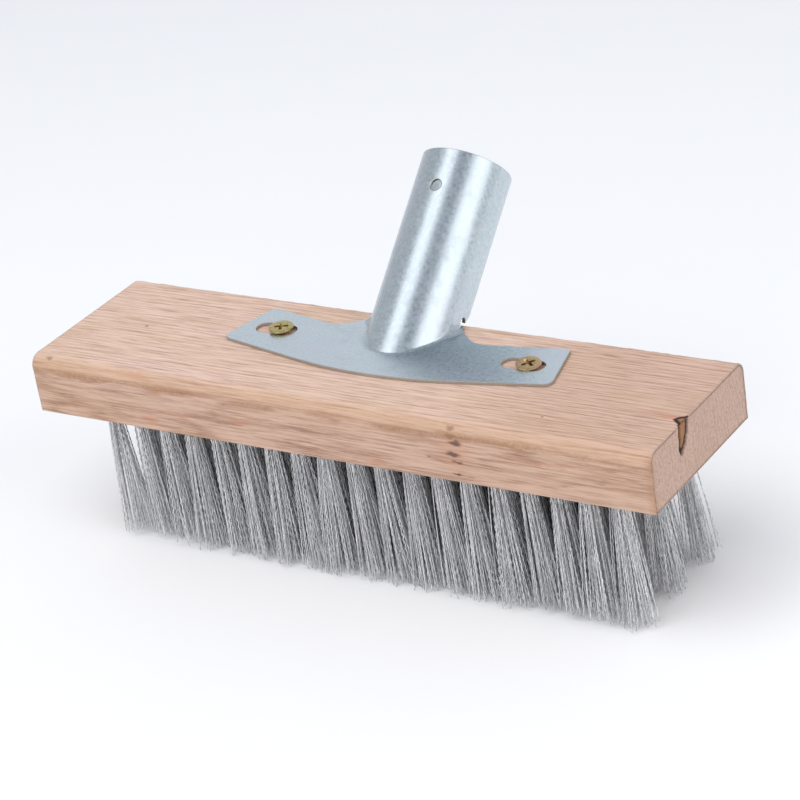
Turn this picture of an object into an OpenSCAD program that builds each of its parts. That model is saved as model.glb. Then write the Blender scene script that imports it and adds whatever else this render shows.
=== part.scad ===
// Wire brush for pool walls: a wooden block filled with steel wire tufts, with a pressed
// steel bracket on top whose rolled socket takes a round pole.
// The origin is on the trimmed bristle face, below the socket's axis and half way across the
// block. +X runs along the block, +Y is the side that the socket leans to.

/* [Block] */
// Length of the wooden block
block_l = 240; // [220:1:300]
// Width of the wooden block
block_w = 65; // [60:1:80]
// Thickness of the wooden block
block_h = 21; // [20:0.5:28]
// Rounding of the two long upper edges
block_edge_r = 4; // [1:0.5:8]
// How far the middle of the block lies to -X of the socket's axis
block_shift = 3; // [0:0.5:6]

/* [Bristles] */
// Free length of the wire below the block
bristle_l = 49; // [30:1:60]
// Tufts in each of the full rows, one fewer in the staggered rows between them
tufts_in_row = 19; // [9:2:19]
// Distance from one tuft to the next along a row
tuft_pitch = 11; // [10:0.5:11]
// Distance from one row to the next
row_pitch = 10.3; // [9.5:0.1:11]
// Diameter of a tuft where it leaves the block
tuft_d = 5; // [4:0.1:5]
// Diameter of a tuft at its trimmed end
tip_d = 7.6; // [6:0.1:8]
// Set that the wires have taken towards +X, measured at their ends
wire_set = 3.5; // [0:0.5:4]
// How far the outer rows splay at their ends
row_splay = 1.5; // [0:0.1:3]
// Depth of the blind hole that holds a tuft
tuft_hole_depth = 11; // [9:0.5:12]

/* [Tuft anchors] */
// Length of the flat wire that pins a tuft, biting into both sides of its hole
anchor_l = 6.4; // [6:0.1:7]
// Height of the flat wire
anchor_h = 2; // [1.5:0.1:2.5]
// Thickness of the flat wire
anchor_t = 0.4; // [0.3:0.05:0.6]

/* [Bracket] */
// Thickness of the sheet
sheet_t = 1.2; // [1:0.1:1.5]
// Inner diameter of the rolled socket
socket_bore_d = 29.2; // [28:0.1:30]
// Length of the socket along its axis, from the upper face of the plate to the rim
socket_l = 57.5; // [50:0.1:70]
// Angle between the socket's axis and the vertical
socket_tilt = 48; // [40:1:50]
// Length of the full ring below the rim that the pole fits in
seat_l = 40; // [30:1:40]
// Where the socket's axis crosses the upper face of the plate
socket_y = 25.8; // [24:0.1:27]
// Width of the seam along the back of the socket
seam_w = 0.6; // [0.3:0.1:1]
// Diameter of the hole for the pole's retaining screw
pole_screw_d = 4; // [3:0.1:5]
// Distance from the rim to the middle of that hole
pole_screw_from_rim = 13.6; // [10:0.1:18]
// Diameter of the relief holes where the socket leaves the plate
relief_d = 3.5; // [3:0.1:4]
// How far the middle of the plate lies to +X of the socket's axis
plate_shift = 2; // [0:0.1:3]
// Distance between the two slots, middle to middle
slot_spacing = 97; // [95:1:100]
// End-to-end length of a slot
slot_l = 15.7; // [14:0.1:17]
// Width of a slot
slot_w = 7.2; // [6.6:0.1:7.6]
// How far the slots lie behind the middle of the block
slot_y = 8.2; // [7:0.1:9]

/* [Screws] */
// Diameter of the countersunk screw head
head_d = 8.6; // [8:0.1:9]
// Outer diameter of the screw thread
thread_d = 4; // [3.5:0.1:4]
// Core diameter of the screw thread
core_d = 2.8; // [2.2:0.1:3]
// Pitch of the screw thread
thread_pitch = 1.6; // [1.4:0.1:2]
// Length of the screw from the top of its head to its point
screw_l = 16; // [14:0.5:16]
// How far both screws sit to +X of the middle of their slots
screw_shift = 2.1; // [0:0.1:3]

/* [Hidden] */
$fn = 64;

rows = 5;
middle_row = 3;
block_z = bristle_l;
plate_z = block_z + block_h;
plate_top = plate_z + sheet_t;

// The tufts stand a little to +X of the middle of the block.
field_x = 1 - block_shift;
row_half = row_pitch * (rows - 1) / 2;
hole_top = block_z + tuft_hole_depth;
fold_gap = 0.4;
fold_top = hole_top - fold_gap;
wire_over_anchor = 1.4;
anchor_z = fold_top - wire_over_anchor - anchor_h;
mouth_bulge = 0.15;
run_out = 2;
trim_box = 40;

socket_r = socket_bore_d / 2 + sheet_t;
throat_relief = 0.2;
// The back of the rolled socket ends in a level cut just above the wood.
back_cut_gap = 0.4;
relief_y = 29;
relief_z = plate_top + 0.2;
countersink_d = pole_screw_d + 1.2;

rim_land = 0.6;
countersink_h = (head_d - thread_d) / 2;
// A 90 degree head sinks into the slot until its cone meets the slot's edges.
head_top = plate_top + rim_land + (head_d - slot_w) / 2;
point_l = 3;
recess_l = 5;
recess_w = 1;
recess_depth = 1.6;
slack = 1;

// Corners of the plate's outline, as [x, y, corner radius]. The belly and the wings are
// measured from the middle of the plate, and the tongue's root from the socket's axis.
belly = [0, -15.3, 150];
wing = [[64.3, -1.8, 3], [58.6, 22.4, 2]];
tongue = [[26.7, 16.3, 11], [17.3, 25.4, 3], [16.7, 29, 0.5]];
corner_steps = 10;

function xy(p) = [p[0], p[1]];
function unit(v) = v / norm(v);
// Points of the arc that rounds the corner p between its neighbours a and b.
function rounded_corner(a, p, b) =
    let (
        to_a = unit(xy(a) - xy(p)),
        to_b = unit(xy(b) - xy(p)),
        half = acos(to_a * to_b) / 2,
        centre = xy(p) + unit(to_a + to_b) * p[2] / sin(half),
        start = xy(p) + to_a * p[2] / tan(half) - centre,
        end = xy(p) + to_b * p[2] / tan(half) - centre,
        sweep = 180 - 2 * half
    )
    [for (i = [0 : corner_steps])
        centre + (start * sin(sweep * (1 - i / corner_steps))
            + end * sin(sweep * i / corner_steps)) / sin(sweep)];
function rounded_outline(p) =
    let (n = len(p))
    [for (i = [0 : n - 1])
        each rounded_corner(p[(i + n - 1) % n], p[i], p[(i + 1) % n])];

function tufts_in(row) = tufts_in_row - (row + 1) % 2;
function tuft_x(row, i) = field_x + tuft_pitch * (i - (tufts_in(row) - 1) / 2);
function row_y(row) = row_pitch * (row - middle_row);

// Puts its children on the socket's axis, with +Z towards the rim.
module on_socket_axis() {
    translate([0, socket_y, plate_top]) rotate([-socket_tilt, 0, 0]) children();
}

module at_tufts(row) {
    for (i = [0 : tufts_in(row) - 1])
        translate([tuft_x(row, i), row_y(row), 0]) children();
}

// ---- block ----

module block_profile() {
    square_h = block_h - block_edge_r;
    translate([-block_w / 2, 0]) square([block_w, square_h]);
    translate([-block_w / 2 + block_edge_r, 0]) square([block_w - 2 * block_edge_r, block_h]);
    for (side = [-1, 1])
        translate([side * (block_w / 2 - block_edge_r), square_h]) circle(r = block_edge_r);
}

module block() {
    color([0.85, 0.71, 0.61]) difference() {
        translate([-block_l / 2 - block_shift, 0, block_z])
            rotate([90, 0, 90]) linear_extrude(block_l) block_profile();
        for (row = [1 : rows]) {
            at_tufts(row)
                translate([0, 0, block_z - slack])
                    cylinder(h = tuft_hole_depth + slack, d = tuft_d);
            anchor_bodies(row);
        }
        for (side = [-1, 1]) screw_shank(side);
    }
}

// ---- tufts and their anchors ----

// A bundle of wire folded over its anchor, closed at the top by the bend of the fold.
module tuft_root() {
    bend_z = fold_top - tuft_d / 2;
    translate([0, 0, block_z]) cylinder(h = bend_z - block_z, d = tuft_d);
    intersection() {
        translate([0, 0, bend_z]) cylinder(h = tuft_d, d = tuft_d);
        translate([-tuft_d, 0, bend_z]) rotate([0, 90, 0]) cylinder(h = 2 * tuft_d, d = tuft_d);
    }
}

// The free wires bulge round the mouth of the hole and spread into a cone, which leans with
// the row's splay and the wires' set. Both ends run on, and are cut level.
module tuft_skirt(row) {
    lean_y = row_splay * row_y(row) / row_half;
    lean = norm([wire_set, lean_y]);
    length = norm([lean, bristle_l]);
    mouth_d = tuft_d + 2 * mouth_bulge;
    spread = (tip_d - mouth_d) / length;
    intersection() {
        translate([0, 0, block_z])
            rotate([0, 0, atan2(lean_y, wire_set)])
                rotate([0, 180 - atan(lean / bristle_l), 0])
                    translate([0, 0, -run_out])
                        cylinder(
                            h = length + 2 * run_out,
                            d1 = mouth_d - spread * run_out,
                            d2 = tip_d + spread * run_out
                        );
        translate([-trim_box / 2, -trim_box / 2, 0]) cube([trim_box, trim_box, block_z]);
    }
}

module tuft_row(row) {
    color([0.62, 0.63, 0.65]) difference() {
        at_tufts(row) {
            tuft_root();
            tuft_skirt(row);
        }
        anchor_bodies(row);
    }
}

module anchor_bodies(row) {
    at_tufts(row)
        translate([-anchor_l / 2, -anchor_t / 2, anchor_z]) cube([anchor_l, anchor_t, anchor_h]);
}

module anchor_row(row) {
    color([0.75, 0.6, 0.3]) anchor_bodies(row);
}

// ---- bracket ----

module plate_outline() {
    half = [each wing, each [for (p = tongue) [p[0] - plate_shift, p[1], p[2]]]];
    other = [each wing, each [for (p = tongue) [p[0] + plate_shift, p[1], p[2]]]];
    mirrored = [for (i = [len(other) - 1 : -1 : 0]) [-other[i][0], other[i][1], other[i][2]]];
    translate([plate_shift, 0]) polygon(rounded_outline(concat([belly], half, mirrored)));
}

module slot_outline(side) {
    straight = slot_l - slot_w;
    translate([plate_shift + side * slot_spacing / 2, slot_y]) {
        translate([-straight / 2, -slot_w / 2]) square([straight, slot_w]);
        for (end = [-1, 1]) translate([end * straight / 2, 0]) circle(d = slot_w);
    }
}

// The socket's outer wall, cut level with the underside of the plate.
module socket_wall() {
    reach = 2 * socket_r;
    intersection() {
        on_socket_axis() translate([0, 0, -reach]) cylinder(h = reach + socket_l, r = socket_r);
        translate([-reach, -reach, plate_z]) cube([2 * reach, 5 * reach, 4 * reach]);
    }
}

module handle_bracket() {
    reach = 2 * socket_r;
    color([0.75, 0.78, 0.8]) difference() {
        union() {
            translate([0, 0, plate_z]) linear_extrude(sheet_t) plate_outline();
            socket_wall();
        }
        on_socket_axis() {
            translate([0, 0, socket_l - seat_l]) cylinder(h = seat_l + slack, d = socket_bore_d);
            // Below the full ring the wall is rolled a little wider, clear of the pole.
            translate([0, 0, -reach])
                cylinder(h = reach + socket_l - seat_l, d = socket_bore_d + 2 * throat_relief);
            // The seam where the two edges of the rolled sheet face each other.
            translate([-seam_w / 2, 0, -reach]) cube([seam_w, reach, 2 * reach + socket_l]);
            // Hole for the pole's retaining screw, lightly countersunk.
            translate([0, 0, socket_l - pole_screw_from_rim]) rotate([90, 0, 0]) {
                cylinder(h = reach, d = pole_screw_d);
                translate([0, 0, socket_r - 0.5])
                    cylinder(h = 1, d1 = pole_screw_d, d2 = countersink_d + 1);
            }
        }
        // The level cut at the back of the socket starts from the relief holes.
        translate([-reach, relief_y, plate_z - slack])
            cube([2 * reach, 2 * reach, slack + back_cut_gap]);
        translate([-reach, relief_y, relief_z])
            rotate([0, 90, 0]) cylinder(h = 2 * reach, d = relief_d);
        translate([0, 0, plate_z - slack])
            linear_extrude(sheet_t + 2 * slack) for (side = [-1, 1]) slot_outline(side);
    }
}

// ---- screws ----

module at_screw(side) {
    translate([plate_shift + side * slot_spacing / 2 + screw_shift, slot_y, head_top])
        children();
}

// Half of the threaded shank's section: ridges from below the head down to the point.
module shank_section() {
    top = -rim_land - countersink_h;
    threaded = screw_l - rim_land - countersink_h - point_l;
    turns = floor(threaded / thread_pitch);
    ridges = [for (i = [0 : turns - 1], half = [0, 1])
        [half == 0 ? core_d / 2 : thread_d / 2, top - (i + half / 2) * thread_pitch]];
    last = top - turns * thread_pitch;
    polygon(concat(
        [[0, top + 0.4], [core_d / 2, top + 0.4]],
        ridges,
        [[core_d / 2, last], [0, -screw_l]]
    ));
}

module screw_shank(side) {
    at_screw(side) rotate_extrude() shank_section();
}

module cross_recess() {
    for (turn = [0, 90])
        rotate([0, 0, turn])
            translate([-recess_l / 2, -recess_w / 2, -recess_depth])
                cube([recess_l, recess_w, recess_depth + slack]);
}

module screw(side) {
    color([0.72, 0.64, 0.32]) {
        at_screw(side) difference() {
            union() {
                translate([0, 0, -rim_land]) cylinder(h = rim_land, d = head_d);
                translate([0, 0, -rim_land - countersink_h])
                    cylinder(h = countersink_h, d1 = thread_d, d2 = head_d);
                rotate_extrude() shank_section();
            }
            cross_recess();
        }
    }
}

block();
handle_bracket();
screw(-1);  // screw_left
screw(1);  // screw_right
tuft_row(1);  // tuft_row_1
tuft_row(2);  // tuft_row_2
tuft_row(3);  // tuft_row_3
tuft_row(4);  // tuft_row_4
tuft_row(5);  // tuft_row_5
anchor_row(1);  // anchor_row_1
anchor_row(2);  // anchor_row_2
anchor_row(3);  // anchor_row_3
anchor_row(4);  // anchor_row_4
anchor_row(5);  // anchor_row_5
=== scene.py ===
"""Looks of a wire brush for pool walls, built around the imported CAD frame.

Sizes are in millimetres in the row frame until a mesh is made, which turns them into metres.
"""

import math

import bpy
import numpy as np
from mathutils import Matrix, Vector
from mathutils.geometry import delaunay_2d_cdt


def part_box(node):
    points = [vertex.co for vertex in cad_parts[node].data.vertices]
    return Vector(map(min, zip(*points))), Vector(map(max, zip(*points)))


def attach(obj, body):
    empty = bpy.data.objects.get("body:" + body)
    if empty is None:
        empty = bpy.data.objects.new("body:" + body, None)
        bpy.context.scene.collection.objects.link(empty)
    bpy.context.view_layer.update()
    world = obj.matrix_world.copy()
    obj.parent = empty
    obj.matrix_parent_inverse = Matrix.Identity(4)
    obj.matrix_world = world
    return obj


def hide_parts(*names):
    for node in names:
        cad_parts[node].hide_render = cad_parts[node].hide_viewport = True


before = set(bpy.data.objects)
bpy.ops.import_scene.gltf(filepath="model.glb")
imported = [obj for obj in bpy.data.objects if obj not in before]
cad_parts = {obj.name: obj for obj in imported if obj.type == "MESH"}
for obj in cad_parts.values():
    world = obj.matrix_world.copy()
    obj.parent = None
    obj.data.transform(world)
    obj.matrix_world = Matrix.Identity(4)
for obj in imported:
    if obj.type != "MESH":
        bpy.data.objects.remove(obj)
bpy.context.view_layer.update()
MM = 0.001


def box_mm(node):
    """Lowest and highest corner of a CAD node, in millimetres."""
    low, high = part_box(node)
    return np.array(low) / MM, np.array(high) / MM


BLOCK_LOW, BLOCK_HIGH = box_mm("block")
PLATE_LOW = box_mm("handle_bracket")[0]
SHEET = 1.2
PLATE_TOP = PLATE_LOW[2] + SHEET


# ---- meshes ----


def make_object(name, points, faces, material, smooth=True, normals=None):
    """A mesh object from points in millimetres."""
    mesh = bpy.data.meshes.new(name)
    mesh.from_pydata((np.asarray(points, float) * MM).tolist(), [], [list(f) for f in faces])
    mesh.update()
    if smooth:
        mesh.polygons.foreach_set("use_smooth", np.ones(len(mesh.polygons), bool))
    if normals is not None:
        mesh.normals_split_custom_set_from_vertices(np.asarray(normals, float).tolist())
    mesh.materials.append(material)
    obj = bpy.data.objects.new(name, mesh)
    bpy.context.scene.collection.objects.link(obj)
    return obj


def set_attributes(obj, **fields):
    """Numbers on each point of a mesh, for its material to read."""
    for name, values in fields.items():
        attribute = obj.data.attributes.new(name, "FLOAT", "POINT")
        attribute.data.foreach_set("value", np.asarray(values, np.float32))


def set_stops(ramp, stops):
    """Fills a colour ramp with (position, colour) stops."""
    while len(ramp.elements) < len(stops):
        ramp.elements.new(1.0)
    for element, (position, color) in zip(ramp.elements, stops):
        element.position = position
        element.color = (*color, 1)


def unit(v):
    v = np.asarray(v, float)
    return v / np.maximum(np.linalg.norm(v, axis=-1, keepdims=True), 1e-12)


def smoothstep(x, low, high):
    t = np.clip((np.asarray(x, float) - low) / (high - low), 0, 1)
    return t * t * (3 - 2 * t)


def lattice_value(ix, iy, iz, seed):
    """A fixed pseudo-random number from 0 to 1 for each lattice point."""
    h = (ix * 374761393 + iy * 668265263 + iz * 2147483647 + seed * 974634777) & 0xFFFFFFFF
    h = ((h ^ (h >> 13)) * 1274126177) & 0xFFFFFFFF
    h = ((h ^ (h >> 16)) * 2246822519) & 0xFFFFFFFF
    return (h ^ (h >> 15)) / float(0xFFFFFFFF)


def noise3(p, seed):
    """Smooth value noise from 0 to 1 with a period of about one unit."""
    p = np.asarray(p, float)
    base = np.floor(p).astype(np.int64)
    t = p - base
    t = t * t * (3 - 2 * t)
    total = np.zeros(len(p))
    for dx in (0, 1):
        for dy in (0, 1):
            for dz in (0, 1):
                w = (
                    np.where(dx, t[:, 0], 1 - t[:, 0])
                    * np.where(dy, t[:, 1], 1 - t[:, 1])
                    * np.where(dz, t[:, 2], 1 - t[:, 2])
                )
                total += w * lattice_value(base[:, 0] + dx, base[:, 1] + dy, base[:, 2] + dz, seed)
    return total


def inside(points, loops):
    """Which points lie inside an odd number of the closed loops."""
    odd = np.zeros(len(points), bool)
    x, y = points[:, 0], points[:, 1]
    for loop in loops:
        a, b = loop, np.roll(loop, -1, axis=0)
        for (x0, y0), (x1, y1) in zip(a, b):
            if y0 == y1:
                continue
            crosses = (y0 > y) != (y1 > y)
            odd ^= crosses & (x < (x1 - x0) * (y - y0) / (y1 - y0) + x0)
    return odd


WELD = 1e-6
SMALLEST_AREA = 1e-7


def fill(loops, inner, keep_off):
    """Triangles that fill the area between closed loops, through the inner points."""
    inner = inner[inside(inner, loops)]
    for loop in loops:
        inner = inner[outline_distance(inner, loop) > keep_off]
    points = np.vstack([*loops, inner])
    edges, start = [], 0
    for loop in loops:
        n = len(loop)
        edges += [(start + i, start + (i + 1) % n) for i in range(n)]
        start += n
    out = delaunay_2d_cdt([Vector(p) for p in points.tolist()], edges, [], 0, WELD)
    flat = np.array([tuple(v) for v in out[0]])
    triangles = np.array([list(f) for f in out[2] if len(f) == 3])
    middle = flat[triangles].mean(1)
    triangles = triangles[inside(middle, loops)]
    a, b, c = flat[triangles[:, 0]], flat[triangles[:, 1]], flat[triangles[:, 2]]
    area = (b[:, 0] - a[:, 0]) * (c[:, 1] - a[:, 1]) - (b[:, 1] - a[:, 1]) * (c[:, 0] - a[:, 0])
    real = np.abs(area) > SMALLEST_AREA
    triangles, area = triangles[real], area[real]
    triangles[area < 0] = triangles[area < 0][:, ::-1]
    return flat, triangles


def grid_points(low, high, step):
    """A triangular grid of points between two corners."""
    rows = []
    for k, y in enumerate(np.arange(low[1], high[1], step * 0.87)):
        x = np.arange(low[0] + (k % 2) * step / 2, high[0], step)
        rows.append(np.column_stack([x, np.full(len(x), y)]))
    return np.vstack(rows)


def merge(parts, digits=4):
    """Joins (points, faces, extra columns) parts, welding points that coincide."""
    points, faces, extra, start = [], [], [], 0
    for p, f, e in parts:
        points.append(p)
        extra.append(e)
        faces += [[start + i for i in face] for face in f]
        start += len(p)
    points, extra = np.vstack(points), np.vstack(extra)
    _, first, back = np.unique(np.round(points, digits), axis=0, return_index=True, return_inverse=True)
    back = back.reshape(-1)
    clean = []
    for face in faces:
        ring = []
        for i in face:
            j = int(back[i])
            if not ring or (j != ring[-1] and j != ring[0]):
                ring.append(j)
        if len(ring) > 2:
            clean.append(ring)
    used = np.unique([i for face in clean for i in face])
    new = np.full(len(first), -1)
    new[used] = np.arange(len(used))
    clean = [[int(new[i]) for i in face] for face in clean]
    return points[first][used], clean, extra[first][used]


def facing(points, faces, normals):
    """The faces of one evenly wound piece of sheet, turned as a whole to face along its normals."""
    corner = np.array([f[:3] for f in faces])
    a, b, c = points[corner[:, 0]], points[corner[:, 1]], points[corner[:, 2]]
    if np.einsum("ij,ij->", np.cross(b - a, c - a), normals[corner[:, 0]]) < 0:
        return [list(f)[::-1] for f in faces]
    return [list(f) for f in faces]


def boundary_loops(faces):
    """The open edges of a sheet as ordered loops, with the sheet on the left."""
    once = {}
    for face in faces:
        for a, b in zip(face, face[1:] + face[:1]):
            if (b, a) in once:
                del once[(b, a)]
            else:
                once[(a, b)] = True
    follow = {a: b for a, b in once}
    loops = []
    while follow:
        start, loop = next(iter(follow)), []
        at = start
        while at in follow:
            loop.append(at)
            at = follow.pop(at)
        if len(loop) < 3:
            raise ValueError("a sheet's edge is pinched to a point")
        loops.append(loop)
    return loops


def thicken(points, normals, faces, thickness, round_of):
    """Turns a sheet into a solid of that thickness with rounded edges.

    The sheet's own edge lies short of the real edge by round_of(points).
    """
    outer, inner = points, points - thickness * normals
    count = len(points)
    all_points, all_normals = [outer, inner], [normals, -normals]
    all_faces = [list(f) for f in faces] + [[count + i for i in reversed(f)] for f in faces]
    start = 2 * count
    steps = np.radians([30, 60, 90])
    for loop in boundary_loops(faces):
        p, n = points[loop], normals[loop]
        along = unit(np.roll(p, -1, axis=0) - np.roll(p, 1, axis=0))
        out = unit(np.cross(along, n))
        c = round_of(p)[:, None]
        rings, ring_normals = [], []
        for a in steps:
            rings.append(p + c * math.sin(a) * out - c * (1 - math.cos(a)) * n)
            ring_normals.append(math.sin(a) * out + math.cos(a) * n)
        for a in steps[::-1]:
            rings.append(p + c * math.sin(a) * out - (thickness - c * (1 - math.cos(a))) * n)
            ring_normals.append(math.sin(a) * out - math.cos(a) * n)
        all_points += rings
        all_normals += ring_normals
        m = len(loop)
        rows = [list(loop)]
        rows += [list(range(start + k * m, start + (k + 1) * m)) for k in range(len(rings))]
        rows += [[count + i for i in loop]]
        start += len(rings) * m
        for upper, lower in zip(rows, rows[1:]):
            for i in range(m):
                j = (i + 1) % m
                all_faces.append([upper[j], upper[i], lower[i], lower[j]])
    return np.vstack(all_points), unit(np.vstack(all_normals)), all_faces


# ---- node materials ----


class Shader:
    """A short way to write a node material. Numbers and sockets mix freely."""

    def __init__(self, name):
        self.material = bpy.data.materials.new(name)
        self.material.use_nodes = True
        self.tree = self.material.node_tree
        self.tree.nodes.clear()
        self.surface = self.add("ShaderNodeBsdfPrincipled")
        output = self.add("ShaderNodeOutputMaterial")
        self.tree.links.new(self.surface.outputs["BSDF"], output.inputs["Surface"])

    def add(self, kind, **settings):
        node = self.tree.nodes.new(kind)
        for key, value in settings.items():
            setattr(node, key, value)
        return node

    def put(self, socket, value):
        if isinstance(value, bpy.types.NodeSocket):
            self.tree.links.new(value, socket)
        elif socket.type == "RGBA" and len(value) == 3:
            socket.default_value = (*value, 1)
        else:
            socket.default_value = value

    def set(self, **values):
        names = {
            "color": "Base Color", "metallic": "Metallic", "roughness": "Roughness",
            "normal": "Normal", "specular": "Specular IOR Level",
        }
        for key, value in values.items():
            self.put(self.surface.inputs[names[key]], value)

    def math(self, operation, a, b=0.0):
        node = self.add("ShaderNodeMath", operation=operation)
        self.put(node.inputs[0], a)
        self.put(node.inputs[1], b)
        return node.outputs[0]

    def times(self, a, b):
        return self.math("MULTIPLY", a, b)

    def less(self, a, b):
        return self.math("SUBTRACT", a, b)

    def total(self, first, *rest):
        for value in rest:
            first = self.math("ADD", first, value)
        return first

    def place(self):
        """Object coordinates in millimetres."""
        node = self.add("ShaderNodeVectorMath", operation="SCALE")
        self.tree.links.new(self.add("ShaderNodeTexCoord").outputs["Object"], node.inputs[0])
        node.inputs["Scale"].default_value = 1 / MM
        return node.outputs[0]

    def scaled(self, vector, scale):
        node = self.add("ShaderNodeVectorMath", operation="MULTIPLY")
        self.put(node.inputs[0], vector)
        self.put(node.inputs[1], scale)
        return node.outputs[0]

    def split(self, vector):
        node = self.add("ShaderNodeSeparateXYZ")
        self.put(node.inputs[0], vector)
        return node.outputs

    def join(self, x, y, z):
        node = self.add("ShaderNodeCombineXYZ")
        for socket, value in zip(node.inputs, (x, y, z)):
            self.put(socket, value)
        return node.outputs[0]

    def noise(self, vector, scale=1.0, detail=2.0, roughness=0.5, distortion=0.0):
        node = self.add("ShaderNodeTexNoise")
        self.put(node.inputs["Vector"], vector)
        self.put(node.inputs["Scale"], scale)
        self.put(node.inputs["Detail"], detail)
        self.put(node.inputs["Roughness"], roughness)
        self.put(node.inputs["Distortion"], distortion)
        return node.outputs["Fac"]

    def remap(self, value, low, high, to_low=0.0, to_high=1.0):
        node = self.add("ShaderNodeMapRange", interpolation_type="SMOOTHSTEP")
        for socket, v in zip(node.inputs, (value, low, high, to_low, to_high)):
            self.put(socket, v)
        return node.outputs[0]

    def mix(self, factor, a, b, blend="MIX"):
        node = self.add("ShaderNodeMix", data_type="RGBA", blend_type=blend)
        node.clamp_factor = True
        for index, value in ((0, factor), (6, a), (7, b)):
            self.put(node.inputs[index], value)
        return node.outputs[2]

    def curve(self, value, stops):
        """A smooth curve of a value, as (position, grey) stops."""
        node = self.add("ShaderNodeValToRGB")
        node.color_ramp.interpolation = "EASE"
        set_stops(node.color_ramp, [(position, (grey, grey, grey)) for position, grey in stops])
        self.put(node.inputs[0], value)
        return node.outputs[0]

    def spot(self, vector, centre, radii, low=0.5, high=1.0):
        """One at the middle of an ellipsoid, nought outside it."""
        off = self.add("ShaderNodeVectorMath", operation="SUBTRACT")
        self.put(off.inputs[0], vector)
        self.put(off.inputs[1], centre)
        over = self.scaled(off.outputs[0], tuple(1 / r for r in radii))
        length = self.add("ShaderNodeVectorMath", operation="LENGTH")
        self.put(length.inputs[0], over)
        return self.remap(length.outputs["Value"], low, high, 1.0, 0.0)

    def spots(self, vector, places, low):
        """The strongest of several spots, each given as its centre and radii."""
        return self.strongest([self.spot(vector, centre, radii, low) for centre, radii in places])

    def strongest(self, values):
        best = values[0]
        for value in values[1:]:
            best = self.math("MAXIMUM", best, value)
        return best

    def attribute(self, name):
        node = self.add("ShaderNodeAttribute", attribute_name=name)
        return node.outputs["Fac"]

    def bump(self, height, strength, distance):
        node = self.add("ShaderNodeBump")
        self.put(node.inputs["Strength"], strength)
        self.put(node.inputs["Distance"], distance)
        self.put(node.inputs["Height"], height)
        return node.outputs["Normal"]


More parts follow.
